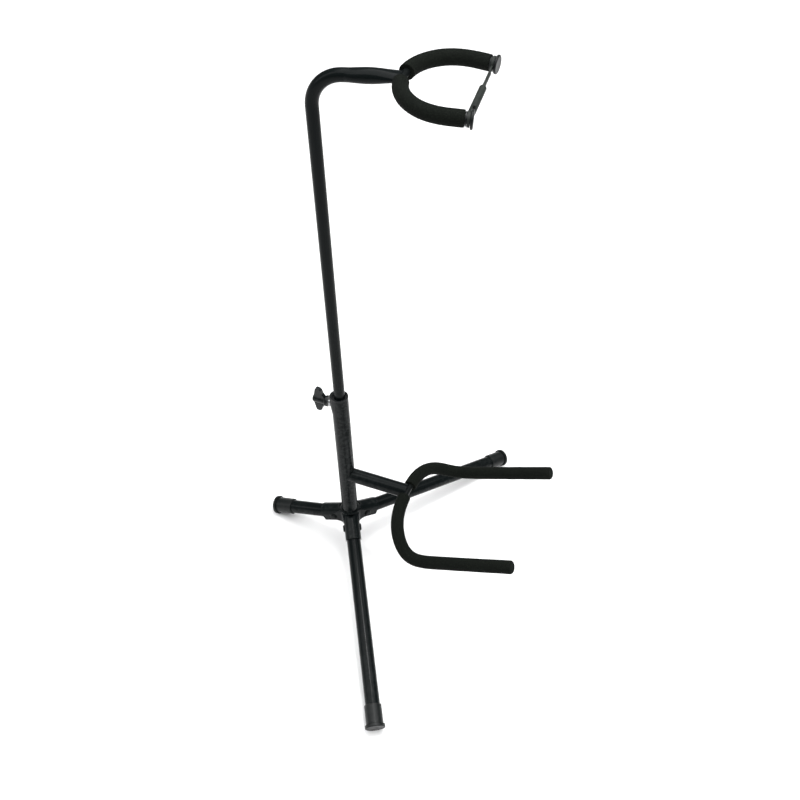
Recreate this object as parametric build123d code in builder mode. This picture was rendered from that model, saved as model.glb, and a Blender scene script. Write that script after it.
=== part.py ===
"""Folding tubular guitar stand: tripod base, telescopic mast, padded body cradle and padded neck yoke.

Millimetres, +Z up. The cradle and the neck yoke point towards -Y and the short leg towards +Y.
Every piece is drawn in the mast's own upright frame, whose origin is the point on the mast's
axis where the three legs' centre lines meet, and is then leant back and stood on the floor.
"""

import os
from math import cos, exp, log1p, pi, radians, sin, tan

from build123d import *

os.makedirs("parts", exist_ok=True)

# Stance
mast_lean = 10.25          # degrees the mast leans back from upright
leg_slope = 15.5           # degrees the open legs drop below square to the mast
leg_spread = 60.0          # degrees from straight ahead to each front leg
front_leg_reach = 338.0    # mast axis to the outer end of a front foot, along the leg
leg_diameter = 21.5
tube_wall = 1.2

# Feet
foot_length = 33.0
foot_diameter = 25.2
foot_floor = 3.5
foot_flange_diameter = 29.4
foot_flange_height = 4.5
foot_groove_diameter = 23.6
foot_groove_height = 1.6
foot_rim_rounding = 1.2
foot_flat_depth = 0.5      # rubber pressed flat where the rim rests on the floor

# Hub
pivot_reach = 25.5         # mast axis to the pivot, along the leg
rivet_diameter = 6.0
rivet_head_diameter = 11.0
rivet_head_height = 2.2
hub_wall = 1.2
leg_play = 0.3             # gap between the leg and the channel round it
arm_slope = 24.0           # degrees each arm's top drops outwards
arm_top_reach = 50.5
arm_toe_reach = 40.0
arm_toe_height = -20.4
arm_root_depth = 9.6
hub_collar_radius = 15.5
hub_collar_height = 15.5
hub_throat_radius = 13.4   # wall left round the tube inside each arm
web_radius = 9.0           # sweep between neighbouring arms
web_depth = 11.5
web_top = 12.5
web_reach = 27.0

# Lower tube
outer_diameter = 25.0
outer_bottom = -14.0
outer_top = 258.0
boss_rise = 2.2            # how far the tube is pressed out behind the knob
boss_radius = 11.6
boss_start = 222.0
boss_full = 240.0
plug_depth = 9.0
plug_lip = 2.0

# Clamp
clamp_height = 243.3
thread_diameter = 6.0
thread_play = 0.05
nut_diameter = 10.0
nut_flange_diameter = 12.5
nut_inner_reach = 10.4
nut_flange_thickness = 0.9
pad_gap = 0.05
pad_length = 2.6
knob_reach = 18.5
knob_collar_diameter = 16.5
knob_collar_length = 5.0
knob_boss_diameter = 12.0
knob_end_reach = 42.5
knob_half_span = 20.6
wing_thickness = 6.5
stud_end_reach = 35.0

# Mast
mast_diameter = 16.0
mast_bottom = 158.0
mast_height = 746.3        # where the mast's and the forward run's centre lines cross
mast_bend_radius = 41.0
run_rise = 4.2             # degrees the forward run climbs from square to the mast
run_length = 106.6
run_width = 20.0           # the run is pressed wide before it is flattened
run_depth = 16.8
run_end_width = 22.0
run_end_depth = 11.0
collar_height = 2.2
collar_sleeve = 8.0
collar_mouth = 10.4
running_play = 0.06
guide_flange = 6.0
guide_spigot = 16.0

# Cradle
bar_diameter = 22.0
bar_height = 95.7
bar_length = 100.0
bar_end_plug = 8.0
cradle_half_width = 92.5
cradle_length = 225.0      # back to tips along the rod's plane, before it is folded
cradle_squareness = 2.57
cradle_back_drop = -47.6   # degrees the back part hangs from square to the mast
cradle_arm_rise = 22.0
cradle_fold_reach = 54.5
cradle_fold_softness = 12.0
cradle_rod_diameter = 10.0
cradle_foam_diameter = 19.2

# Neck yoke
neck_turn = 7.1            # degrees the mast is turned in the lower tube
yoke_pitch = -3.9
yoke_half_width = 68.6
yoke_length = 89.8
yoke_squareness = 2.09
yoke_closing = 7.7         # degrees each arm closes towards its tip
yoke_closing_softness = 8.0
yoke_rod_diameter = 9.0
yoke_foam_diameter = 18.4
foam_play = 0.15
path_spacing = 12.0        # between the points a bent rod's centre line is drawn through
straight_limit = 1e-4      # turn below which a piece of centre line is drawn straight
foam_end = 4.7
weld_play = 0.02

# Neck strap and its spools
neck_foam_short = 8.0      # bare rod beyond each neck foam
neck_rod_short = 2.5       # the spool reaches this far past the rod's end
spool_gap = 0.3
spool_inner_flange = 1.6
spool_groove = 4.0
spool_outer_flange = 3.2
spool_groove_diameter = 11.0
spool_flange_diameter = 21.0
spool_inner_diameter = 15.5
strap_thickness = 3.0
strap_play = 0.1
strap_eyelet_diameter = 17.0
strap_tab_width = 8.2
strap_grip_gap = 0.6
strap_grip_rounding = 1.8
strap_tab_share = 0.55
strap_thin_width = 3.4

outer_radius = outer_diameter / 2
outer_bore = outer_radius - tube_wall
leg_radius = leg_diameter / 2
mast_radius = mast_diameter / 2
mast_bore = mast_radius - tube_wall
LEG_TURNS = {"rear": 180.0, "left": -leg_spread, "right": leg_spread}


def smooth_ramp(distance, softness):
    """Zero well below zero, the distance itself well above it, rounded in between."""
    return max(distance, 0.0) + softness * log1p(exp(-abs(distance) / softness))


def yoke_plan(share, half_width, length, squareness):
    """Point on a U in plan, as (forward, sideways); share runs from -1 to 1 along the U."""
    bend = min(half_width, 0.95 * length)
    arc_share = 1.25 * half_width / (1.25 * half_width + length - bend)
    side = 1 if share >= 0 else -1
    if abs(share) <= arc_share:
        angle = pi / 2 * abs(share) / arc_share
        forward = bend * (1 - abs(cos(angle)) ** (2 / squareness))
        return forward, side * half_width * abs(sin(angle)) ** (2 / squareness)
    return bend + (length - bend) * (abs(share) - arc_share) / (1 - arc_share), side * half_width


def cradle_point(share):
    """Point on the cradle rod's centre line, in the mast's frame."""
    along, sideways = yoke_plan(share, cradle_half_width, cradle_length, cradle_squareness)
    past_fold = smooth_ramp(along - cradle_fold_reach, cradle_fold_softness)
    past_fold -= smooth_ramp(-cradle_fold_reach, cradle_fold_softness)
    before_fold = along - past_fold
    drop, rise = radians(cradle_back_drop), radians(cradle_arm_rise)
    forward = before_fold * cos(drop) + past_fold * cos(rise)
    upward = before_fold * sin(drop) + past_fold * sin(rise)
    return Vector(sideways, -bar_length - forward, bar_height + upward)


def run_point(along, offset=0.0):
    """Point on the mast's forward run, before the mast is turned."""
    rise = radians(run_rise)
    return Vector(0, -along * cos(rise) + offset * sin(rise), mast_height + along * sin(rise) + offset * cos(rise))


def yoke_point(share):
    """Point on the neck yoke rod's centre line, before the mast is turned."""
    along, sideways = yoke_plan(share, yoke_half_width, yoke_length, yoke_squareness)
    inward = tan(radians(yoke_closing)) * (
        smooth_ramp(along - yoke_half_width / 2, yoke_closing_softness)
        - smooth_ramp(-yoke_half_width / 2, yoke_closing_softness)
    )
    sideways -= inward if share >= 0 else -inward
    pitch = radians(yoke_pitch)
    return run_point(run_length) + Vector(sideways, -along * cos(pitch), along * sin(pitch))


def point_at_side(point, side_reach):
    """Share along a U at which it is side_reach away from its middle plane."""
    low, high = 0.0, 0.5
    for _ in range(40):
        middle = (low + high) / 2
        if abs(point(middle).X) < side_reach:
            low = middle
        else:
            high = middle
    return (low + high) / 2


def trimmed_share(point, short_by):
    """Share along a U that lies short_by from its tip, on the straight part of the arm."""
    tip = point(1.0)
    low, high = 0.7, 1.0
    for _ in range(40):
        middle = (low + high) / 2
        if (tip - point(middle)).length > short_by:
            low = middle
        else:
            high = middle
    return (low + high) / 2


def even_points(point, first, last):
    """Points along part of a U, spaced evenly along its length."""
    count = 600
    dense = [point(first + (last - first) * index / count) for index in range(count + 1)]
    lengths = [0.0]
    for before, after in zip(dense, dense[1:]):
        lengths.append(lengths[-1] + (after - before).length)
    steps = max(8, round(lengths[-1] / path_spacing))
    chosen = []
    for step in range(steps + 1):
        wanted = lengths[-1] * step / steps
        index = min(range(count + 1), key=lambda place: abs(lengths[place] - wanted))
        chosen.append(dense[index])
    return chosen


def arc_chain(points, tangent):
    """Smooth chain of arcs and straight runs through points, for the open line builder."""
    for before, after in zip(points, points[1:]):
        chord = (after - before).normalized()
        if (tangent - chord).length < straight_limit:
            Line(before, after)
        else:
            TangentArc(before, after, tangent=tangent)
        tangent = (chord * (2 * chord.dot(tangent)) - tangent).normalized()


def rod_line(point, first, last):
    """Centre line of part of a U."""
    start_tangent = (point(first + (last - first) / 1000) - point(first)).normalized()
    with BuildLine() as line:
        arc_chain(even_points(point, first, last), start_tangent)
    return line.line


def rod_solid(point, first, last, radius):
    """Round rod along part of a U."""
    centre_line = rod_line(point, first, last)
    with BuildPart() as rod:
        with BuildLine():
            add(centre_line)
        with BuildSketch(Plane(origin=centre_line @ 0, z_dir=centre_line % 0)):
            Circle(radius)
        sweep()
    return rod.part


def foam_solid(point, first, last, rod_radius, foam_radius):
    """Foam sleeve along part of a U, open at both ends."""
    centre_line = rod_line(point, first, last)
    with BuildPart() as foam:
        with BuildLine():
            add(centre_line)
        with BuildSketch(Plane(origin=centre_line @ 0, z_dir=centre_line % 0)):
            Circle(foam_radius)
            Circle(rod_radius + foam_play, mode=Mode.SUBTRACT)
        sweep()
    return foam.part


def foam_tip_solid(point, first, last, foam_radius):
    """Rounded, closed tip that carries a foam sleeve on past the rod's end."""
    centre_line = rod_line(point, first, last)
    with BuildPart() as tip:
        with BuildSketch(Plane(origin=centre_line @ 1, z_dir=centre_line % 1)):
            Circle(foam_radius)
        extrude(amount=foam_end)
        far_face = tip.faces().filter_by(GeomType.PLANE).sort_by_distance(centre_line @ 0)[-1]
        fillet(far_face.edges(), foam_radius * 0.3)
    return tip.part


def leg_direction(turn, slope):
    """Unit vector along a leg that points turn degrees from straight ahead and drops by slope."""
    turn, slope = radians(turn), radians(slope)
    return Vector(sin(turn) * cos(slope), -cos(turn) * cos(slope), -sin(slope))


def drop_below_level(turn):
    """Sine of the angle between an open leg and the floor once the mast leans back."""
    direction = leg_direction(turn, leg_slope)
    lean = radians(mast_lean)
    return -(direction.Z * cos(lean) - direction.Y * sin(lean))


def rim_height(turn):
    """Height of a foot's end centre above the floor when its rim just rests there."""
    sine = drop_below_level(turn)
    cosine = (1 - sine**2) ** 0.5
    rim_centre = (foot_flange_diameter / 2 - foot_rim_rounding) * cosine - foot_rim_rounding * sine
    return rim_centre + foot_rim_rounding - foot_flat_depth


hub_height = front_leg_reach * drop_below_level(leg_spread) + rim_height(leg_spread)
rear_leg_reach = (hub_height - rim_height(180.0)) / drop_below_level(180.0)
leg_reach = {"rear": rear_leg_reach, "left": front_leg_reach, "right": front_leg_reach}
lean_and_lift = Location((0, 0, hub_height), (-mast_lean, 0, 0))
turn_neck = Location((0, 0, 0), (0, 0, neck_turn))
pieces = {}


# Lower tube, pressed out behind the knob, with the hole for the clamp's insert.
with BuildPart() as outer_tube:
    with BuildSketch(Plane.XY.offset(outer_bottom)):
        Circle(outer_radius)
    extrude(amount=outer_top - outer_bottom)
    with BuildSketch(Plane.XY.offset(boss_start)):
        with Locations((0, (outer_radius - boss_radius) * 0.7)):
            Circle(boss_radius)
    with BuildSketch(Plane.XY.offset(boss_full)):
        with Locations((0, outer_radius + boss_rise - boss_radius)):
            Circle(boss_radius)
    loft()
    with BuildSketch(Plane.XY.offset(boss_full)):
        with Locations((0, outer_radius + boss_rise - boss_radius)):
            Circle(boss_radius)
    extrude(amount=outer_top - boss_full)
    with BuildSketch(Plane.XY.offset(outer_bottom)):
        Circle(outer_bore)
    extrude(amount=outer_top - outer_bottom, mode=Mode.SUBTRACT)
    with BuildSketch(Plane.XZ):
        with Locations((0, clamp_height)):
            Circle(nut_diameter / 2 + weld_play)
    extrude(amount=-2 * outer_radius, mode=Mode.SUBTRACT)
pieces["outer_tube"] = outer_tube.part

# Plastic plug in the lower tube's foot.
with BuildPart() as tube_plug:
    with BuildSketch(Plane.XY.offset(outer_bottom - weld_play)):
        Circle(outer_radius)
    extrude(amount=-plug_lip)
    fillet(tube_plug.faces().sort_by(Axis.Z)[0].edges(), plug_lip * 0.5)
    with BuildSketch(Plane.XY.offset(outer_bottom - weld_play)):
        Circle(outer_bore - weld_play)
        Circle(outer_bore - 2 * tube_wall, mode=Mode.SUBTRACT)
    extrude(amount=plug_depth)
pieces["tube_plug"] = tube_plug.part

# Hub: a collar round the tube with three drooping channels, open below, for the legs.
channel_outer = leg_radius + leg_play + hub_wall
channel_inner = leg_radius + leg_play
arm_direction = Vector(0, -cos(radians(arm_slope)), -sin(radians(arm_slope)))
arm_end_centre = Vector(0, -arm_top_reach, -arm_top_reach * tan(radians(leg_slope)))
channel_plane = Plane(origin=arm_end_centre + arm_direction * leg_radius, x_dir=(1, 0, 0), z_dir=-arm_direction)
channel_depth = 30.0
tall = 60.0


def channel_solid(radius):
    """Inverted-U channel running up and inwards from the arm's end, past the mast."""
    with BuildPart() as channel:
        with BuildSketch(channel_plane):
            Circle(radius)
            with Locations((0, channel_depth / 2)):
                Rectangle(2 * radius, channel_depth)
        extrude(amount=arm_top_reach + 2 * leg_radius)
    return channel.part


with BuildPart() as arm:
    with BuildSketch(Plane.YZ.offset(-channel_outer)):
        with BuildLine():
            Polyline(
                (0, web_top),
                (-arm_top_reach, web_top),
                (-arm_top_reach, -1),
                (-arm_toe_reach, arm_toe_height),
                (-hub_throat_radius, -arm_root_depth),
                (0, -arm_root_depth),
                close=True,
            )
        make_face()
    extrude(amount=2 * channel_outer)
    add(channel_solid(channel_outer), mode=Mode.INTERSECT)

with BuildPart() as arm_space:
    add(channel_solid(channel_inner))
    with BuildSketch(Plane.XY.offset(-tall)):
        Circle(hub_throat_radius)
        with Locations((0, arm_top_reach)):
            Rectangle(4 * channel_outer, 2 * arm_top_reach)
    extrude(amount=2 * tall, mode=Mode.SUBTRACT)

pivot = leg_direction(0, leg_slope) * pivot_reach
with BuildPart() as rivet_hole:
    with BuildSketch(Plane.YZ.offset(-channel_outer)):
        with Locations((pivot.Y, pivot.Z)):
            Circle(rivet_diameter / 2 + weld_play)
    extrude(amount=2 * channel_outer)

with BuildPart() as hub:
    with BuildSketch(Plane.XY.offset(-web_depth)):
        for turn in LEG_TURNS.values():
            with Locations(Location((0, 0, 0), (0, 0, turn))):
                with Locations((0, -arm_top_reach / 2)):
                    Rectangle(2 * channel_outer, arm_top_reach)
        inner_corners = sorted(vertices(), key=lambda corner: Vector(corner.X, corner.Y).length)[:3]
        fillet(inner_corners, web_radius)
        Circle(web_reach, mode=Mode.INTERSECT)
    extrude(amount=web_depth + web_top)
    with BuildSketch(Plane.XY.offset(-web_depth)):
        Circle(web_reach + web_top)
    extrude(amount=web_depth + web_top, taper=45, mode=Mode.INTERSECT)
    for turn in LEG_TURNS.values():
        add(arm.part.moved(Location((0, 0, 0), (0, 0, turn))))
    with BuildSketch(Plane.XY):
        Circle(hub_collar_radius)
    extrude(amount=hub_collar_height)
    chamfer(hub.faces().sort_by(Axis.Z)[-1].edges(), hub_wall * 0.8)
    for turn in LEG_TURNS.values():
        add(arm_space.part.moved(Location((0, 0, 0), (0, 0, turn))), mode=Mode.SUBTRACT)
        add(rivet_hole.part.moved(Location((0, 0, 0), (0, 0, turn))), mode=Mode.SUBTRACT)
    with BuildSketch(Plane.XY.offset(-tall)):
        Circle(outer_radius + weld_play)
    extrude(amount=2 * tall, mode=Mode.SUBTRACT)
pieces["hub"] = hub.part

# Pivot rivets: one through the two cheeks of each arm, domed at both ends.
with BuildPart() as rivet:
    with BuildSketch(Plane.YZ.offset(-channel_outer)):
        with Locations((pivot.Y, pivot.Z)):
            Circle(rivet_diameter / 2)
    extrude(amount=2 * channel_outer)
    for side in (-1, 1):
        with BuildSketch(Plane.YZ.offset(side * (channel_outer + weld_play))):
            with Locations((pivot.Y, pivot.Z)):
                Circle(rivet_head_diameter / 2)
        extrude(amount=side * rivet_head_height)
        fillet(rivet.faces().sort_by(Axis.X)[-1 if side > 0 else 0].edges(), rivet_head_height * 0.8)
    with BuildSketch(Plane.YZ.offset(-channel_outer - weld_play)):
        with Locations((pivot.Y, pivot.Z)):
            Circle(rivet_diameter / 2)
    extrude(amount=2 * (channel_outer + weld_play))

with BuildPart() as pivot_rivets:
    for turn in LEG_TURNS.values():
        add(rivet.part.moved(Location((0, 0, 0), (0, 0, turn))))
pieces["pivot_rivets"] = pivot_rivets.part

# Legs and their rubber feet.
leg_plane = Plane(origin=(0, 0, 0), x_dir=(1, 0, 0), z_dir=leg_direction(0, leg_slope))
pivot_plane = Plane(origin=pivot, x_dir=leg_direction(0, leg_slope), z_dir=(1, 0, 0))
floor_block = lean_and_lift.inverse() * Location((0, 0, -tall / 2))


def leg_solid(reach):
    """Leg tube pointing straight ahead, its inner end rounded about the pivot."""
    with BuildPart() as leg:
        with BuildSketch(leg_plane.offset(pivot_reach)):
            Circle(leg_radius)
        extrude(amount=reach - foot_floor - pivot_reach)
        with Locations(pivot):
            Sphere(leg_radius)
        with BuildSketch(leg_plane):
            Circle(leg_radius - tube_wall)
        extrude(amount=reach, mode=Mode.SUBTRACT)
        with BuildSketch(pivot_plane.offset(-leg_radius)):
            Circle(rivet_diameter / 2 + running_play)
        extrude(amount=2 * leg_radius, mode=Mode.SUBTRACT)
    return leg.part


def foot_solid(reach):
    """Rubber foot pushed over the leg's end: a sleeve, a groove and a flange."""
    flange_start = reach - foot_flange_height
    with BuildPart() as foot:
        with BuildSketch(leg_plane.offset(reach - foot_length)):
            Circle(foot_diameter / 2)
        extrude(amount=foot_length - foot_flange_height - foot_groove_height)
        fillet(foot.faces().sort_by_distance(leg_plane.origin)[0].edges(), foot_rim_rounding * 0.6)
        with BuildSketch(leg_plane.offset(flange_start - foot_groove_height)):
            Circle(foot_groove_diameter / 2)
        extrude(amount=foot_groove_height + 1)
        with BuildSketch(leg_plane.offset(flange_start)):
            Circle(foot_flange_diameter / 2)
        extrude(amount=foot_flange_height)
        fillet(foot.faces().sort_by_distance(leg_plane.origin)[-1].edges(), foot_rim_rounding)
        with BuildSketch(leg_plane.offset(reach - foot_length)):
            Circle(leg_radius + weld_play)
        extrude(amount=foot_length - foot_floor + weld_play, mode=Mode.SUBTRACT)
    return foot.part


for name, turn in LEG_TURNS.items():
    leg_turn = Location((0, 0, 0), (0, 0, turn))
    pieces["leg_" + name] = leg_solid(leg_reach[name]).moved(leg_turn)
    with BuildPart() as standing_foot:
        add(foot_solid(leg_reach[name]).moved(leg_turn))
        with Locations(floor_block):
            Box(4 * front_leg_reach, 4 * front_leg_reach, tall, mode=Mode.SUBTRACT)
    pieces["foot_" + name] = standing_foot.part

# Threaded insert through the pressed boss, with a flange outside.
boss_face = outer_radius + boss_rise + weld_play
with BuildPart() as clamp_insert:
    with BuildSketch(Plane.XZ.offset(-nut_inner_reach)):
        with Locations((0, clamp_height)):
            Circle(nut_diameter / 2)
    extrude(amount=-(boss_face - nut_inner_reach))
    with BuildSketch(Plane.XZ.offset(-boss_face)):
        with Locations((0, clamp_height)):
            Circle(nut_flange_diameter / 2)
    extrude(amount=-nut_flange_thickness)
    with BuildSketch(Plane.XZ):
        with Locations((0, clamp_height)):
            Circle(thread_diameter / 2 + thread_play)
    extrude(amount=-2 * outer_radius, mode=Mode.SUBTRACT)
pieces["clamp_insert"] = clamp_insert.part

# Soft pad at the stud's tip, which presses on the mast.
pad_inner_reach = mast_radius + pad_gap
with BuildPart() as pressure_pad:
    with BuildSketch(Plane.XZ.offset(-pad_inner_reach)):
        with Locations((0, clamp_height)):
            Circle(thread_diameter / 2)
    extrude(amount=-pad_length)
pieces["pressure_pad"] = pressure_pad.part

# Steel stud and the winged knob moulded over its outer end.
stud_reach = pad_inner_reach + pad_length + pad_gap
with BuildPart() as knob_stud:
    with BuildSketch(Plane.XZ.offset(-stud_reach)):
        with Locations((0, clamp_height)):
            Circle(thread_diameter / 2)
    extrude(amount=-(stud_end_reach - stud_reach))
    chamfer(knob_stud.faces().sort_by(Axis.Y)[-1].edges(), thread_play * 10)
pieces["knob_stud"] = knob_stud.part

wing_root = knob_reach + knob_collar_length
half_wing = [
    (wing_root, knob_boss_diameter / 2),
    (knob_reach + 8.7, knob_half_span * 0.56),
    (knob_reach + 10.3, knob_half_span * 0.85),
    (knob_reach + 13.5, knob_half_span),
    (knob_end_reach - 5.0, knob_half_span),
    (knob_end_reach - 3.1, knob_half_span * 0.53),
    (knob_end_reach - 1.0, knob_boss_diameter * 0.3),
]
with BuildPart() as wing_knob:
    with BuildSketch(Plane.XZ.offset(-knob_reach)):
        with Locations((0, clamp_height)):
            Circle(knob_collar_diameter / 2)
    extrude(amount=-knob_collar_length)
    fillet(wing_knob.faces().sort_by(Axis.Y)[-1].edges(), knob_collar_length * 0.4)
    with BuildSketch(Plane.XZ.offset(-wing_root)):
        with Locations((0, clamp_height)):
            Circle(knob_boss_diameter / 2)
    extrude(amount=-(knob_end_reach - wing_root))
    fillet(wing_knob.faces().sort_by(Axis.Y)[-1].edges(), knob_boss_diameter * 0.2)
    with BuildSketch(Plane.YZ.offset(-wing_thickness / 2)) as wings:
        with Locations((0, clamp_height)):
            with BuildLine():
                upper = [(reach, clamp_height + height) for reach, height in half_wing]
                lower = [(reach, clamp_height - height) for reach, height in reversed(half_wing)]
                Polyline(*upper, *lower, close=True)
            make_face()
        tips = vertices().group_by(Axis.Y)
        fillet(tips[0] + tips[-1], knob_half_span * 0.1)
    extrude(amount=wing_thickness)
    with BuildSketch(Plane.XZ.offset(-knob_reach)):
        with Locations((0, clamp_height)):
            Circle(thread_diameter / 2 + weld_play)
    extrude(amount=-(stud_end_reach - knob_reach + weld_play), mode=Mode.SUBTRACT)
pieces["wing_knob"] = wing_knob.part

# Plastic collar in the lower tube's mouth.
with BuildPart() as mast_collar:
    with BuildSketch(Plane.XY.offset(outer_top + weld_play)):
        Circle(outer_radius)
        with Locations((0, outer_radius + boss_rise - boss_radius)):
            Circle(boss_radius)
    extrude(amount=collar_height)
    fillet(mast_collar.faces().sort_by(Axis.Z)[-1].edges(), collar_height * 0.45)
    with BuildSketch(Plane.XY.offset(outer_top - collar_sleeve)):
        Circle(outer_bore - weld_play)
    extrude(amount=collar_sleeve + 2 * weld_play)
    with BuildSketch(Plane.XY.offset(outer_top - collar_sleeve)):
        Circle(mast_radius + running_play)
    extrude(amount=collar_sleeve + tall, mode=Mode.SUBTRACT)
    with BuildSketch(Plane.XY.offset(outer_top + weld_play + collar_height)):
        Circle(collar_mouth)
    extrude(amount=-collar_height, taper=30, mode=Mode.SUBTRACT)
pieces["mast_collar"] = mast_collar.part

# Plastic guide on the mast's lower end, sliding in the lower tube.
with BuildPart() as mast_guide:
    with BuildSketch(Plane.XY.offset(mast_bottom - running_play)):
        Circle(outer_bore - running_play)
    extrude(amount=-guide_flange)
    fillet(mast_guide.faces().sort_by(Axis.Z)[0].edges(), guide_flange * 0.2)
    with BuildSketch(Plane.XY.offset(mast_bottom - running_play)):
        Circle(mast_bore - running_play)
    extrude(amount=guide_spigot)
    chamfer(mast_guide.faces().sort_by(Axis.Z)[-1].edges(), tube_wall)
pieces["mast_guide"] = mast_guide.part

# Mast: straight tube, a bend forwards, and a run that is pressed wide and then flattened.
round_end = run_length * 0.4
wide_start = run_length * 0.55
wide_end = run_length * 0.72
flat_start = run_length * 0.93
yoke_rod_radius = yoke_rod_diameter / 2
rod_tip = trimmed_share(yoke_point, neck_rod_short)
yoke_rod_room = rod_solid(yoke_point, -rod_tip, rod_tip, yoke_rod_radius + weld_play)


def run_plane(along):
    """Plane square to the forward run, with X sideways."""
    return Plane(origin=run_point(along), x_dir=(1, 0, 0), z_dir=run_point(1) - run_point(0))


def bent_tube(radius):
    """Straight tube, bend and round start of the forward run."""
    with BuildPart() as bent:
        with BuildLine() as line:
            FilletPolyline(
                (0, 0, mast_bottom), (0, 0, mast_height), run_point(round_end), radius=mast_bend_radius
            )
        with BuildSketch(Plane(origin=line.line @ 0, z_dir=line.line % 0)):
            Circle(radius)
        sweep()
    return bent.part


def run_solid(radius, sections):
    """Bent tube whose run goes on through oval sections of (distance, width, depth)."""
    with BuildPart() as run:
        add(bent_tube(radius))
        with BuildSketch(run_plane(round_end)):
            Circle(radius)
        for along, width, depth in sections:
            with BuildSketch(run_plane(along)):
                Ellipse(width / 2, depth / 2)
        loft()
    return run.part


outer_sections = (
    (wide_start, run_width, run_depth),
    (wide_end, run_width, run_depth),
    (flat_start, run_end_width, run_end_depth),
    (run_length, run_end_width, run_end_depth),
)
bore_width = run_width - 2 * tube_wall
bore_sections = (
    (wide_start, bore_width, run_depth - 2 * tube_wall),
    (wide_end, bore_width, run_depth - 2 * tube_wall),
    ((wide_end + flat_start) / 2, bore_width, run_end_depth - 2 * tube_wall),
)
with BuildPart() as mast_tube:
    add(run_solid(mast_radius, outer_sections))
    add(run_solid(mast_bore, bore_sections), mode=Mode.SUBTRACT)
    add(yoke_rod_room, mode=Mode.SUBTRACT)
pieces["mast_tube"] = mast_tube.part.moved(turn_neck)

# Neck yoke rod, its two foam sleeves, the spools on its tips and the rubber strap.
foam_tip = trimmed_share(yoke_point, neck_foam_short)
foam_start = point_at_side(yoke_point, run_end_width / 2 + weld_play)
pieces["neck_yoke"] = rod_solid(yoke_point, -rod_tip, rod_tip, yoke_rod_radius).moved(turn_neck)
spool_place = {}
for name, side in (("left", -1), ("right", 1)):
    sleeve = foam_solid(yoke_point, side * foam_start, side * foam_tip, yoke_rod_radius, yoke_foam_diameter / 2)
    pieces["neck_foam_" + name] = sleeve.moved(turn_neck)
    tip_direction = yoke_point(side * 1.0) - yoke_point(side * foam_tip)
    spool_plane = Plane(origin=yoke_point(side * foam_tip), z_dir=tip_direction)
    spool_place[name] = spool_plane
    outer_flange_start = spool_inner_flange + spool_groove
    with BuildPart() as spool:
        with BuildSketch(spool_plane.offset(spool_gap)):
            Circle(spool_inner_diameter / 2)
        extrude(amount=spool_inner_flange - spool_gap)
        with BuildSketch(spool_plane.offset(spool_inner_flange)):
            Circle(spool_groove_diameter / 2)
        extrude(amount=spool_groove)
        with BuildSketch(spool_plane.offset(outer_flange_start)):
            Circle(spool_flange_diameter / 2)
        extrude(amount=spool_outer_flange)
        fillet(spool.faces().sort_by_distance(spool_plane.origin)[-1].edges(), spool_outer_flange * 0.4)
        add(yoke_rod_room, mode=Mode.SUBTRACT)
    pieces["neck_spool_" + name] = spool.part.moved(turn_neck)

groove_middle = spool_inner_flange + spool_groove / 2
strap_start = spool_place["left"].offset(groove_middle)
strap_end = spool_place["right"].offset(groove_middle)
strap_span = (strap_end.origin - strap_start.origin).length
strap_plane = Plane(
    origin=strap_start.origin,
    x_dir=strap_end.origin - strap_start.origin,
    z_dir=strap_start.z_dir + strap_end.z_dir,
)
eyelet_radius = strap_eyelet_diameter / 2
tab_end = strap_span * strap_tab_share
grip_start = spool_flange_diameter / 2 + strap_grip_gap
strap_direction = strap_plane.x_dir


def is_grip_rim(edge):
    """True for the two round rims of the strap's grip."""
    return abs(edge.radius - strap_tab_width / 2) < 0.01 and abs(edge.normal().dot(strap_direction)) > 0.99


with BuildPart() as neck_strap:
    for eyelet_plane in (strap_start, strap_end):
        with BuildSketch(eyelet_plane.offset(-strap_thickness / 2)):
            Circle(eyelet_radius)
        extrude(amount=strap_thickness)
    with BuildSketch(strap_plane.offset(-strap_thickness / 2)):
        with Locations((strap_span / 2, 0)):
            Rectangle(strap_span - spool_groove_diameter, strap_thin_width)
    extrude(amount=strap_thickness)
    with BuildSketch(Plane(origin=strap_plane.origin, z_dir=strap_plane.x_dir).offset(grip_start)):
        Circle(strap_tab_width / 2)
    extrude(amount=tab_end - grip_start)
    fillet(neck_strap.edges().filter_by(GeomType.CIRCLE).filter_by(is_grip_rim), strap_grip_rounding)
    for eyelet_plane in (strap_start, strap_end):
        with BuildSketch(eyelet_plane.offset(-spool_groove)):
            Circle(spool_groove_diameter / 2 + strap_play)
        extrude(amount=2 * spool_groove, mode=Mode.SUBTRACT)
    for eyelet_plane in (strap_start, strap_end):
        with BuildSketch(eyelet_plane.offset(spool_groove / 2 - strap_play)):
            Circle(spool_flange_diameter)
        extrude(amount=spool_outer_flange, mode=Mode.SUBTRACT)
        with BuildSketch(eyelet_plane.offset(-spool_groove / 2 + strap_play)):
            Circle(spool_inner_diameter / 2 + strap_play)
        extrude(amount=-spool_outer_flange, mode=Mode.SUBTRACT)
pieces["neck_strap"] = neck_strap.part.moved(turn_neck)

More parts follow.
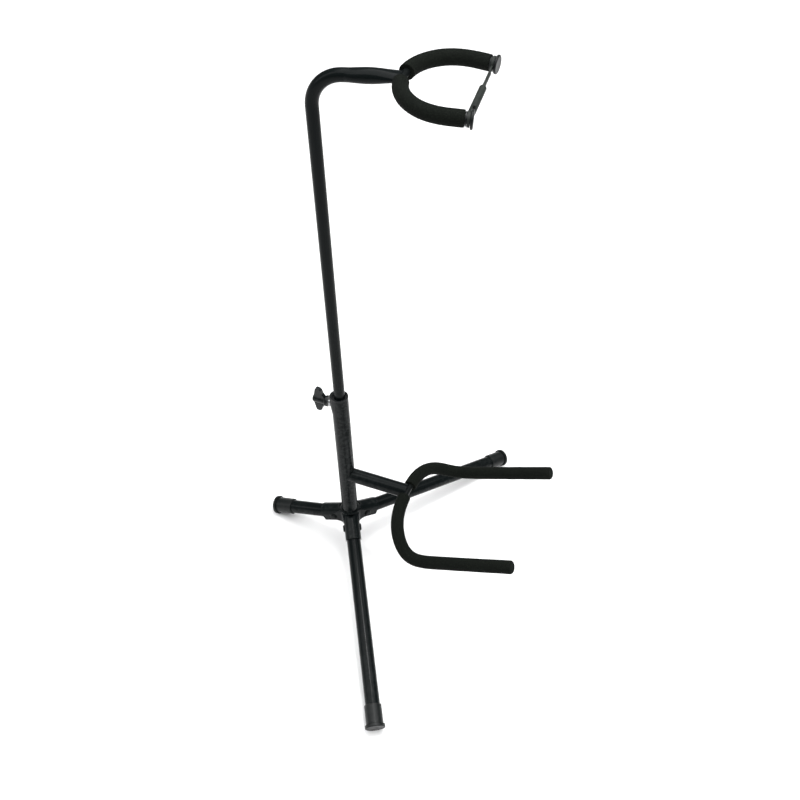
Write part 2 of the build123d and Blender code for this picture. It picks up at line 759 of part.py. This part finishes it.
# Cradle: a stub tube welded to the lower tube, the rod welded across its end, and two foam sleeves.
cradle_rod_radius = cradle_rod_diameter / 2
cradle_rod_tip = trimmed_share(cradle_point, foam_end + foam_play)
cradle_bore_tip = trimmed_share(cradle_point, foam_end)
cradle_foam_start = point_at_side(cradle_point, bar_diameter / 2 + weld_play)
pieces["cradle_rod"] = rod_solid(cradle_point, -cradle_rod_tip, cradle_rod_tip, cradle_rod_radius)
with BuildPart() as cradle_bar:
    with BuildSketch(Plane.XZ):
        with Locations((0, bar_height)):
            Circle(bar_diameter / 2)
    extrude(amount=bar_length)
    fillet(cradle_bar.faces().sort_by(Axis.Y)[0].edges(), tube_wall)
    with BuildSketch(Plane.XZ):
        with Locations((0, bar_height)):
            Circle(bar_diameter / 2 - tube_wall)
    extrude(amount=bar_length - bar_end_plug, mode=Mode.SUBTRACT)
    with BuildSketch(Plane.XY):
        Circle(outer_radius + weld_play)
    extrude(amount=2 * bar_height, mode=Mode.SUBTRACT)
    add(
        rod_solid(cradle_point, -cradle_rod_tip, cradle_rod_tip, cradle_rod_radius + weld_play),
        mode=Mode.SUBTRACT,
    )
pieces["cradle_bar"] = cradle_bar.part
for name, side in (("left", -1), ("right", 1)):
    foam_ends = (side * cradle_foam_start, side * cradle_bore_tip)
    with BuildPart() as cradle_foam:
        add(foam_solid(cradle_point, *foam_ends, cradle_rod_radius, cradle_foam_diameter / 2))
        add(foam_tip_solid(cradle_point, *foam_ends, cradle_foam_diameter / 2))
    pieces["cradle_foam_" + name] = cradle_foam.part

# Stand everything on the floor, centred over its own footprint.
standing = {name: piece.moved(lean_and_lift) for name, piece in pieces.items()}
lows = [piece.bounding_box().min for piece in standing.values()]
highs = [piece.bounding_box().max for piece in standing.values()]
middle_y = (min(low.Y for low in lows) + max(high.Y for high in highs)) / 2
to_footprint = Location((0, -middle_y, 0))
for name, piece in standing.items():
    placed = piece.moved(to_footprint)
    placed.label = name
    export_step(placed, f"parts/{name}.step")
print("mast foot point", (0, -middle_y, hub_height), "rear leg", rear_leg_reach)
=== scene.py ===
"""Black tubular guitar stand: looks built round the fixed metal frame. Metres, +Z up."""

from math import cos, exp, log1p, pi, radians, sin, sqrt, tan

import bpy
from mathutils import Matrix, Vector


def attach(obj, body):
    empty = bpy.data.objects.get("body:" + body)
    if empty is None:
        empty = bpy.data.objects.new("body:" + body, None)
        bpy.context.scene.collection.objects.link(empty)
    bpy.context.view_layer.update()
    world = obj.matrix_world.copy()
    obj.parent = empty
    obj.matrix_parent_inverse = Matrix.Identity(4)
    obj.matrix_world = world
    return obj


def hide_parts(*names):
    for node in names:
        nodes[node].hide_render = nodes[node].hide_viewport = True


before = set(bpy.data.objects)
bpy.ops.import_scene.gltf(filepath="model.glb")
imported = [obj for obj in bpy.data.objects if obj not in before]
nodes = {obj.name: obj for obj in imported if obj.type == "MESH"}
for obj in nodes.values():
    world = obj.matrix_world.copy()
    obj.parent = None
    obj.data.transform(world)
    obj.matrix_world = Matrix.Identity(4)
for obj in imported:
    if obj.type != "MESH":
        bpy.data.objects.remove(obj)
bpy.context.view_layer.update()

# Camera, set down beside the stand, a little above its neck yoke and rolled as a hand-held one is.
camera_place = Vector((-0.91247, -0.20323, 1.40069))
camera_right = Vector((0.38606, -0.91213, 0.13778))
camera_up = Vector((0.65053, 0.37510, 0.66039))
camera_data = bpy.data.cameras.new("studio_camera")
camera_data.sensor_width = 36.0
camera_data.lens = 45.674
camera_data.clip_start = 0.05
camera_data.clip_end = 20.0
camera = bpy.data.objects.new("studio_camera", camera_data)
camera_back = camera_right.cross(camera_up).normalized()
camera_turn = Matrix((camera_right, camera_up, camera_back)).transposed()
camera.matrix_world = Matrix.Translation(camera_place) @ camera_turn.to_4x4()
bpy.context.scene.collection.objects.link(camera)
bpy.context.scene.camera = camera

# Studio: a pale seamless floor, an even pale room, a broad soft ceiling and three panels. The small
# one straight overhead draws the pale stripe down the near leg, the tall ones the edges of the mast.
floor_half_side = 6.0
floor_colour = (0.93, 0.93, 0.93, 1.0)
room_light = 0.22
floor_mesh = bpy.data.meshes.new("studio_floor")
floor_mesh.from_pydata(
    [(x * floor_half_side, y * floor_half_side, 0.0) for x, y in ((-1, -1), (1, -1), (1, 1), (-1, 1))],
    [],
    [(0, 1, 2, 3)],
)
floor = bpy.data.objects.new("studio_floor", floor_mesh)
bpy.context.scene.collection.objects.link(floor)
floor_paint = bpy.data.materials.new("studio_floor_paint")
floor_paint.use_nodes = True
floor_shader = floor_paint.node_tree.nodes["Principled BSDF"]
floor_shader.inputs["Base Color"].default_value = floor_colour
floor_shader.inputs["Roughness"].default_value = 0.9
floor_mesh.materials.append(floor_paint)

room = bpy.data.worlds.new("studio_room")
room.use_nodes = True
room.node_tree.nodes["Background"].inputs["Color"].default_value = (0.97, 0.985, 1.0, 1.0)
room.node_tree.nodes["Background"].inputs["Strength"].default_value = room_light
bpy.context.scene.world = room
bpy.context.scene.view_settings.view_transform = "Standard"


def soft_panel(name, place, aim, wide, tall, power):
    """A soft light panel at a place, facing a point."""
    light = bpy.data.lights.new(name, "AREA")
    light.shape = "RECTANGLE"
    light.size = wide
    light.size_y = tall
    light.energy = power
    panel = bpy.data.objects.new(name, light)
    panel.location = place
    panel.rotation_euler = (Vector(aim) - Vector(place)).to_track_quat("-Z", "Y").to_euler()
    bpy.context.scene.collection.objects.link(panel)


stand_middle = (0.0, 0.0, 0.4)
soft_panel("overhead_panel", (0.3, 0.0, 4.2), (0.3, 0.0, 0.0), 6.5, 6.5, 400.0)
soft_panel("key_panel", (0.1, 0.1, 2.4), stand_middle, 0.3, 0.3, 14.0)
soft_panel("left_panel", (-1.2, 2.2, 1.6), stand_middle, 0.7, 2.0, 14.0)
soft_panel("right_panel", (-0.6, -2.6, 1.5), stand_middle, 0.7, 2.0, 12.0)


# Steel tubes: the mast, the lower tube, the legs and the stub bar. They are drawn steel, welded
# and then coated with satin black powder, whose skin is faintly dimpled and rubbed pale at edges.
def new_finish(name):
    """A fresh material with its node tree, main shader and the piece's own coordinates."""
    finish = bpy.data.materials.new(name)
    finish.use_nodes = True
    tree = finish.node_tree
    place = tree.nodes.new("ShaderNodeTexCoord")
    return finish, tree, tree.nodes["Principled BSDF"], place.outputs["Object"]


def grain(tree, place, scale, detail=4.0, roughness=0.6):
    """A cloudy pattern with so many features to the metre."""
    noise = tree.nodes.new("ShaderNodeTexNoise")
    noise.inputs["Scale"].default_value = scale
    noise.inputs["Detail"].default_value = detail
    noise.inputs["Roughness"].default_value = roughness
    tree.links.new(place, noise.inputs["Vector"])
    return noise.outputs["Fac"]


def spread(tree, pattern, low, high, from_low=0.3, from_high=0.7):
    """A pattern stretched to run from low to high."""
    ranged = tree.nodes.new("ShaderNodeMapRange")
    ranged.inputs["From Min"].default_value = from_low
    ranged.inputs["From Max"].default_value = from_high
    ranged.inputs["To Min"].default_value = low
    ranged.inputs["To Max"].default_value = high
    tree.links.new(pattern, ranged.inputs["Value"])
    return ranged.outputs["Result"]


def blended_colour(tree, pattern, first, second):
    """Two colours mixed by a pattern."""
    mix = tree.nodes.new("ShaderNodeMix")
    mix.data_type = "RGBA"
    mix.inputs[6].default_value = (*first, 1.0)
    mix.inputs[7].default_value = (*second, 1.0)
    tree.links.new(pattern, mix.inputs[0])
    return mix.outputs[2]


def multiplied(tree, first, second):
    """Two patterns multiplied together."""
    product = tree.nodes.new("ShaderNodeMath")
    product.operation = "MULTIPLY"
    tree.links.new(first, product.inputs[0])
    tree.links.new(second, product.inputs[1])
    return product.outputs[0]


def raised(tree, shader, pattern, height, before=None):
    """Bumps of a height in metres on the shader, laid over earlier ones."""
    bump = tree.nodes.new("ShaderNodeBump")
    bump.inputs["Strength"].default_value = 1.0
    bump.inputs["Distance"].default_value = height
    tree.links.new(pattern, bump.inputs["Height"])
    if before is not None:
        tree.links.new(before, bump.inputs["Normal"])
    tree.links.new(bump.outputs["Normal"], shader.inputs["Normal"])
    return bump.outputs["Normal"]


def edge_wear_and_highlight(tree, place, first, last, breakup):
    """Share of sharp edge, broken up by a pattern: rubbed wear on the steel, painted highlight on the plastic."""
    shape = tree.nodes.new("ShaderNodeNewGeometry")
    sharp = spread(tree, shape.outputs["Pointiness"], 0.0, 1.0, first, last)
    patches = spread(tree, grain(tree, place, breakup), 0.0, 1.0, 0.42, 0.62)
    return multiplied(tree, sharp, patches)


def coated_steel(name, colour, rub_colour, gloss_low, gloss_high, dimple_height):
    """Powder-coated steel."""
    finish, tree, shader, place = new_finish(name)
    clouds = grain(tree, place, 14.0)
    tint = blended_colour(tree, clouds, colour, [part * 1.3 for part in colour])
    rubbed = edge_wear_and_highlight(tree, place, 0.56, 0.64, 180.0)
    worn = tree.nodes.new("ShaderNodeMix")
    worn.data_type = "RGBA"
    worn.inputs[7].default_value = (*rub_colour, 1.0)
    tree.links.new(rubbed, worn.inputs[0])
    tree.links.new(tint, worn.inputs[6])
    tree.links.new(worn.outputs[2], shader.inputs["Base Color"])
    streaks = grain(tree, place, 25.0, detail=3.0, roughness=0.5)
    tree.links.new(spread(tree, streaks, gloss_low, gloss_high, 0.2, 0.8), shader.inputs["Roughness"])
    dimples = grain(tree, place, 1400.0, detail=1.0, roughness=0.4)
    raised(tree, shader, dimples, dimple_height)
    shader.inputs["Specular IOR Level"].default_value = 0.07
    shader.inputs["Coat Weight"].default_value = 0.01
    shader.inputs["Coat Roughness"].default_value = 0.12
    return finish


def dress(names, finish):
    """Gives carried-over nodes a finish."""
    for name in names:
        for place in nodes[name].material_slots:
            place.material = finish
        if not nodes[name].material_slots:
            nodes[name].data.materials.append(finish)


powder_coat = coated_steel(
    "satin_black_powder_coat", (0.0028, 0.0040, 0.0042), (0.016, 0.018, 0.018), 0.2, 0.26, 0.0000006
)
dress(["mast_tube", "outer_tube", "leg_left", "leg_right", "leg_rear", "cradle_bar"], powder_coat)


# Bent rods inside the foam, seen only at their bare ends: cold-drawn wire under the same coat,
# thinner and rougher there because the sleeves are pushed on over it.
rod_coat = coated_steel("thin_rod_coat", (0.004, 0.005, 0.005), (0.03, 0.03, 0.03), 0.32, 0.42, 0.000002)
dress(["cradle_rod", "neck_yoke"], rod_coat)


# Hub and rivets: the hub is folded from sheet steel round the tube and welded, and its three
# channels take the legs on rivets. It is coated after welding and chips first at its rims.
hub_coat = coated_steel("hub_powder_coat", (0.0035, 0.005, 0.0052), (0.02, 0.022, 0.022), 0.18, 0.24, 0.0000008)
rivet_coat = coated_steel("rivet_paint", (0.005, 0.006, 0.006), (0.04, 0.04, 0.04), 0.24, 0.34, 0.000001)
dress(["hub"], hub_coat)
dress(["pivot_rivets"], rivet_coat)


# Moulded nylon fittings: collar, guide, plug, wing knob and the two neck spools. They come out of
# a lightly spark-eroded mould, so their skin is finely grained; their sharp ridges get a painted highlight.
def moulded(name, colour, gloss_low, gloss_high, grain_scale, grain_height):
    """Moulded plastic with a fine mould texture and a painted highlight on its sharp ridges."""
    finish, tree, shader, place = new_finish(name)
    clouds = grain(tree, place, 40.0)
    tint = blended_colour(tree, clouds, colour, [part * 1.4 for part in colour])
    # Sharp ridges are painted paler than the plastic: a painted highlight, not wear or polish.
    painted_crest_highlight = edge_wear_and_highlight(tree, place, 0.54, 0.62, 120.0)
    crest_highlight_mix = tree.nodes.new("ShaderNodeMix")
    crest_highlight_mix.data_type = "RGBA"
    crest_highlight_mix.inputs[7].default_value = (*[part * 2.0 + 0.006 for part in colour], 1.0)
    tree.links.new(painted_crest_highlight, crest_highlight_mix.inputs[0])
    tree.links.new(tint, crest_highlight_mix.inputs[6])
    tree.links.new(crest_highlight_mix.outputs[2], shader.inputs["Base Color"])
    patches = grain(tree, place, 90.0, detail=6.0)
    tree.links.new(spread(tree, patches, gloss_low, gloss_high), shader.inputs["Roughness"])
    fine = grain(tree, place, grain_scale, detail=3.0)
    raised(tree, shader, fine, grain_height)
    shader.inputs["Specular IOR Level"].default_value = 0.18
    return finish


fitting_plastic = moulded("black_fitting_plastic", (0.004, 0.005, 0.0055), 0.26, 0.36, 2200.0, 0.000004)
knob_plastic = moulded("black_knob_plastic", (0.0045, 0.0058, 0.0062), 0.22, 0.34, 2600.0, 0.000004)
spool_plastic = moulded("black_spool_plastic", (0.004, 0.0052, 0.0052), 0.28, 0.4, 2000.0, 0.000005)
dress(["mast_collar", "mast_guide", "tube_plug"], fitting_plastic)
dress(["wing_knob"], knob_plastic)
dress(["neck_spool_left", "neck_spool_right"], spool_plastic)

pad_nylon = moulded("natural_nylon", (0.6, 0.58, 0.52), 0.4, 0.55, 1500.0, 0.00001)
dress(["pressure_pad"], pad_nylon)


# Clamp screw and its insert: zinc-plated steel, turned; the plating is given a fine grain
# and dulls in patches.
zinc, zinc_tree, zinc_shader, zinc_place = new_finish("zinc_plate")
zinc_patches = grain(zinc_tree, zinc_place, 200.0, detail=6.0)
zinc_tint = blended_colour(zinc_tree, zinc_patches, (0.42, 0.43, 0.44), (0.68, 0.69, 0.7))
zinc_tree.links.new(zinc_tint, zinc_shader.inputs["Base Color"])
zinc_tree.links.new(spread(zinc_tree, zinc_patches, 0.22, 0.42), zinc_shader.inputs["Roughness"])
zinc_shader.inputs["Metallic"].default_value = 1.0
raised(zinc_tree, zinc_shader, grain(zinc_tree, zinc_place, 1800.0), 0.00001)
dress(["clamp_insert", "knob_stud"], zinc)


# Feet and neck strap: soft black rubber. The feet are dipped sleeves pushed on to the legs, and
# the strap is moulded flat; both gather a grey bloom of dust in their skin.
def soft_rubber(name, colour, bloom, gloss_low, gloss_high, skin_height):
    """Moulded rubber with a dusty bloom."""
    finish, tree, shader, place = new_finish(name)
    dust = spread(tree, grain(tree, place, 55.0, detail=8.0, roughness=0.7), 0.0, 1.0, 0.4, 0.75)
    tree.links.new(blended_colour(tree, dust, colour, bloom), shader.inputs["Base Color"])
    patches = grain(tree, place, 130.0, detail=5.0)
    tree.links.new(spread(tree, patches, gloss_low, gloss_high), shader.inputs["Roughness"])
    skin = raised(tree, shader, grain(tree, place, 350.0), skin_height)
    raised(tree, shader, grain(tree, place, 2400.0, detail=2.0), skin_height * 0.4, before=skin)
    shader.inputs["Specular IOR Level"].default_value = 0.18
    return finish


foot_rubber = soft_rubber("black_foot_rubber", (0.0045, 0.0058, 0.006), (0.012, 0.014, 0.0135), 0.3, 0.44, 0.000008)
strap_rubber = soft_rubber("black_strap_rubber", (0.011, 0.0135, 0.012), (0.024, 0.028, 0.025), 0.45, 0.6, 0.00001)
dress(["foot_left", "foot_right", "foot_rear"], foot_rubber)
dress(["neck_strap"], strap_rubber)


# Cradle sleeves: two lengths of closed-cell foam tube pushed on to the bent rod from its tips
# until they meet the stub bar. They hide the rod, and their far ends are heat-closed and round.
hub_point = Vector((0.0, 0.0691191, 0.0736799))
mast_lean = radians(10.25)
lean = Matrix.Rotation(-mast_lean, 3, "X")


def smooth_ramp(distance, softness):
    """Zero well below zero, the distance itself well above it, rounded in between."""
    return max(distance, 0.0) + softness * log1p(exp(-abs(distance) / softness))


def u_plan(share, half_width, length, squareness):
    """Point on a U in plan, as (forward, sideways); share runs from -1 to 1 along the U."""
    bend = min(half_width, 0.95 * length)
    arc_share = 1.25 * half_width / (1.25 * half_width + length - bend)
    side = 1 if share >= 0 else -1
    if abs(share) <= arc_share:
        angle = pi / 2 * abs(share) / arc_share
        forward = bend * (1 - abs(cos(angle)) ** (2 / squareness))
        return forward, side * half_width * abs(sin(angle)) ** (2 / squareness)
    return bend + (length - bend) * (abs(share) - arc_share) / (1 - arc_share), side * half_width


bar_length = 0.1
bar_height = 0.0957
bar_radius = 0.011
cradle_drop = radians(-47.6)
cradle_rise = radians(22.0)
cradle_fold = 0.0545
cradle_fold_softness = 0.012


def cradle_point(share):
    """Point on the cradle rod's centre line."""
    along, sideways = u_plan(share, 0.0925, 0.225, 2.57)
    past_fold = smooth_ramp(along - cradle_fold, cradle_fold_softness)
    past_fold -= smooth_ramp(-cradle_fold, cradle_fold_softness)
    before_fold = along - past_fold
    forward = before_fold * cos(cradle_drop) + past_fold * cos(cradle_rise)
    upward = before_fold * sin(cradle_drop) + past_fold * sin(cradle_rise)
    return hub_point + lean @ Vector((sideways, -bar_length - forward, bar_height + upward))


def share_at_side(point, side_reach):
    """Share along a U at which its side reach is this far from the middle."""
    middle_point = point(0.0)
    low, high = 0.0, 0.5
    for _ in range(40):
        middle = (low + high) / 2
        if (point(middle) - middle_point).dot(side_line(point)) < side_reach:
            low = middle
        else:
            high = middle
    return low


def side_line(point):
    """Unit vector from one tip of a U to the other."""
    return (point(1.0) - point(-1.0)).normalized()


def share_before_tip(point, short_by):
    """Share along a U that lies this far from its tip."""
    low, high = 0.7, 1.0
    for _ in range(40):
        middle = (low + high) / 2
        if (point(1.0) - point(middle)).length > short_by:
            low = middle
        else:
            high = middle
    return low


def sleeve_line(name, point, first, last, radius, tip_round):
    """A line along part of a U, evenly spaced, with the sleeve's radius at each point."""
    dense = [point(first + (last - first) * index / 2000) for index in range(2001)]
    lengths = [0.0]
    for before, after in zip(dense, dense[1:]):
        lengths.append(lengths[-1] + (after - before).length)
    whole = lengths[-1]
    spacing = 0.0011
    rings = int(whole / spacing)
    wanted = [whole * step / rings for step in range(rings + 1)]
    corner = 0.0009
    lead = [corner * (1 - cos(pi / 2 * step / 5)) for step in range(5)]
    tail = [whole - tip_round * (1 - cos(pi / 2 * step / 9)) for step in range(9)]
    wanted = lead + [spot for spot in wanted if corner < spot < whole - tip_round] + tail[::-1]
    curve = bpy.data.curves.new(name, "CURVE")
    curve.dimensions = "3D"
    line = curve.splines.new("POLY")
    line.points.add(len(wanted) - 1)
    cursor = 0
    for index, spot in enumerate(wanted):
        while cursor < 1999 and lengths[cursor + 1] < spot:
            cursor += 1
        share = (spot - lengths[cursor]) / (lengths[cursor + 1] - lengths[cursor])
        line.points[index].co = (*dense[cursor].lerp(dense[cursor + 1], share), 1.0)
        narrowing = 0.0
        if spot < corner:
            narrowing = corner - sqrt(max(0.0, corner**2 - (corner - spot) ** 2))
        if spot > whole - tip_round:
            past = spot - (whole - tip_round)
            narrowing = tip_round - sqrt(max(0.0, tip_round**2 - past**2))
        line.points[index].radius = radius - narrowing
    source = bpy.data.objects.new(name, curve)
    bpy.context.scene.collection.objects.link(source)
    return source


def sleeve_tree():
    """Node tree that wraps a line in a round sleeve whose skin swells and dips a little."""
    tree = bpy.data.node_groups.new("foam_sleeve", "GeometryNodeTree")
    tree.interface.new_socket("Line", in_out="INPUT", socket_type="NodeSocketGeometry")
    tree.interface.new_socket("Sides", in_out="INPUT", socket_type="NodeSocketInt")
    tree.interface.new_socket("Swelling", in_out="INPUT", socket_type="NodeSocketFloat")
    tree.interface.new_socket("Pitting", in_out="INPUT", socket_type="NodeSocketFloat")
    tree.interface.new_socket("Finish", in_out="INPUT", socket_type="NodeSocketMaterial")
    tree.interface.new_socket("Sleeve", in_out="OUTPUT", socket_type="NodeSocketGeometry")
    add, link = tree.nodes.new, tree.links.new
    given, result = add("NodeGroupInput"), add("NodeGroupOutput")
    ring = add("GeometryNodeCurvePrimitiveCircle")
    ring.inputs["Radius"].default_value = 1.0
    link(given.outputs["Sides"], ring.inputs["Resolution"])
    wrap = add("GeometryNodeCurveToMesh")
    wrap.inputs["Fill Caps"].default_value = True
    link(given.outputs["Line"], wrap.inputs["Curve"])
    link(ring.outputs["Curve"], wrap.inputs["Profile Curve"])
    link(add("GeometryNodeInputRadius").outputs["Radius"], wrap.inputs["Scale"])
    outward = add("GeometryNodeInputNormal")
    moved = wrap.outputs["Mesh"]
    for scale, detail, amount in ((28.0, 2.0, "Swelling"), (620.0, 2.0, "Pitting")):
        noise = add("ShaderNodeTexNoise")
        noise.inputs["Scale"].default_value = scale
        noise.inputs["Detail"].default_value = detail
        centred = add("ShaderNodeMath")
        centred.operation = "SUBTRACT"
        centred.inputs[1].default_value = 0.55
        link(noise.outputs["Fac"], centred.inputs[0])
        sized = add("ShaderNodeMath")
        sized.operation = "MULTIPLY"
        link(centred.outputs[0], sized.inputs[0])
        link(given.outputs[amount], sized.inputs[1])
        push = add("ShaderNodeVectorMath")
        push.operation = "SCALE"
        link(outward.outputs["Normal"], push.inputs["Vector"])
        link(sized.outputs[0], push.inputs["Scale"])
        place = add("GeometryNodeSetPosition")
        link(moved, place.inputs["Geometry"])
        link(push.outputs["Vector"], place.inputs["Offset"])
        moved = place.outputs["Geometry"]
    smooth = add("GeometryNodeSetShadeSmooth")
    link(moved, smooth.inputs["Geometry"])
    real = add("GeometryNodeRealizeInstances")
    link(smooth.outputs["Geometry"], real.inputs["Geometry"])
    painted = add("GeometryNodeSetMaterial")
    link(real.outputs["Geometry"], painted.inputs["Geometry"])
    link(given.outputs["Finish"], painted.inputs["Material"])
    link(painted.outputs["Geometry"], result.inputs["Sleeve"])
    return tree


def closed_cell_foam(name):
    """Matte foam rubber: a skin of tiny burst cells with paler lips and dusty patches."""
    finish, tree, shader, place = new_finish(name)
    cells = tree.nodes.new("ShaderNodeTexVoronoi")
    cells.feature = "DISTANCE_TO_EDGE"
    cells.inputs["Scale"].default_value = 900.0
    tree.links.new(place, cells.inputs["Vector"])
    lips = spread(tree, cells.outputs["Distance"], 1.0, 0.0, 0.0, 0.2)
    speckle = spread(tree, grain(tree, place, 1500.0, detail=3.0), 0.0, 1.0, 0.5, 0.75)
    flecks = multiplied(tree, lips, speckle)
    clouds = grain(tree, place, 30.0, detail=6.0)
    ground = blended_colour(tree, clouds, (0.0016, 0.0024, 0.0018), (0.0034, 0.0044, 0.0034))
    tinted = tree.nodes.new("ShaderNodeMix")
    tinted.data_type = "RGBA"
    tinted.inputs[7].default_value = (0.03, 0.036, 0.028, 1.0)
    tree.links.new(flecks, tinted.inputs[0])
    tree.links.new(ground, tinted.inputs[6])
    tree.links.new(tinted.outputs[2], shader.inputs["Base Color"])
    tree.links.new(spread(tree, clouds, 0.8, 0.97), shader.inputs["Roughness"])
    shader.inputs["Specular IOR Level"].default_value = 0.08
    pores = raised(tree, shader, cells.outputs["Distance"], 0.0001)
    raised(tree, shader, grain(tree, place, 420.0), 0.00012, before=pores)
    return finish


foam_finish = closed_cell_foam("black_closed_cell_foam")
foam_tree = sleeve_tree()
sleeve_sides = 64
sleeve_swelling = 0.0007
sleeve_pitting = 0.00018


def foam_sleeve(node, body, line):
    """The finished sleeve on a line, standing for its plain solid."""
    wrap = line.modifiers.new("sleeve", "NODES")
    wrap.node_group = foam_tree
    sockets = {item.name: item.identifier for item in foam_tree.interface.items_tree}
    wrap[sockets["Sides"]] = sleeve_sides
    wrap[sockets["Swelling"]] = sleeve_swelling
    wrap[sockets["Pitting"]] = sleeve_pitting
    wrap[sockets["Finish"]] = foam_finish
    seen = line.evaluated_get(bpy.context.evaluated_depsgraph_get())
    mesh = bpy.data.meshes.new_from_object(seen)
    line.modifiers.clear()
    bpy.data.objects.remove(line)
    sleeve = bpy.data.objects.new(node + "_sleeve", mesh)
    bpy.context.scene.collection.objects.link(sleeve)
    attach(sleeve, body)
    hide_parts(node)


cradle_radius = 0.0096
cradle_start = share_at_side(cradle_point, bar_radius + 0.0002)
for name, side in (("cradle_foam_left", -1), ("cradle_foam_right", 1)):
    line = sleeve_line(name, cradle_point, side * cradle_start, side * 1.0, cradle_radius, 0.003)
    foam_sleeve(name, "stand", line)


# Neck sleeves: the same foam tube, shorter, on the yoke's rod. They stop short of the rod's ends,
# where the strap's spools are driven on.
neck_turn = Matrix.Rotation(radians(7.1), 3, "Z")
mast_height = 0.7463
run_rise = radians(4.2)
run_length = 0.1066
yoke_half_width = 0.0686
yoke_pitch = radians(-3.9)
yoke_closing = radians(7.7)
yoke_closing_softness = 0.008


def yoke_point(share):
    """Point on the neck yoke rod's centre line."""
    along, sideways = u_plan(share, yoke_half_width, 0.0898, 2.09)
    inward = tan(yoke_closing) * (
        smooth_ramp(along - yoke_half_width / 2, yoke_closing_softness)
        - smooth_ramp(-yoke_half_width / 2, yoke_closing_softness)
    )
    sideways -= inward if share >= 0 else -inward
    reach = run_length * cos(run_rise) + along * cos(yoke_pitch)
    height = mast_height + run_length * sin(run_rise) + along * sin(yoke_pitch)
    return hub_point + lean @ neck_turn @ Vector((sideways, -reach, height))


neck_radius = 0.0092
neck_start = share_at_side(yoke_point, 0.01102)
neck_tip = share_before_tip(yoke_point, 0.008)
for name, side in (("neck_foam_left", -1), ("neck_foam_right", 1)):
    line = sleeve_line(name, yoke_point, side * neck_start, side * neck_tip, neck_radius, 0.0012)
    foam_sleeve(name, "mast", line)
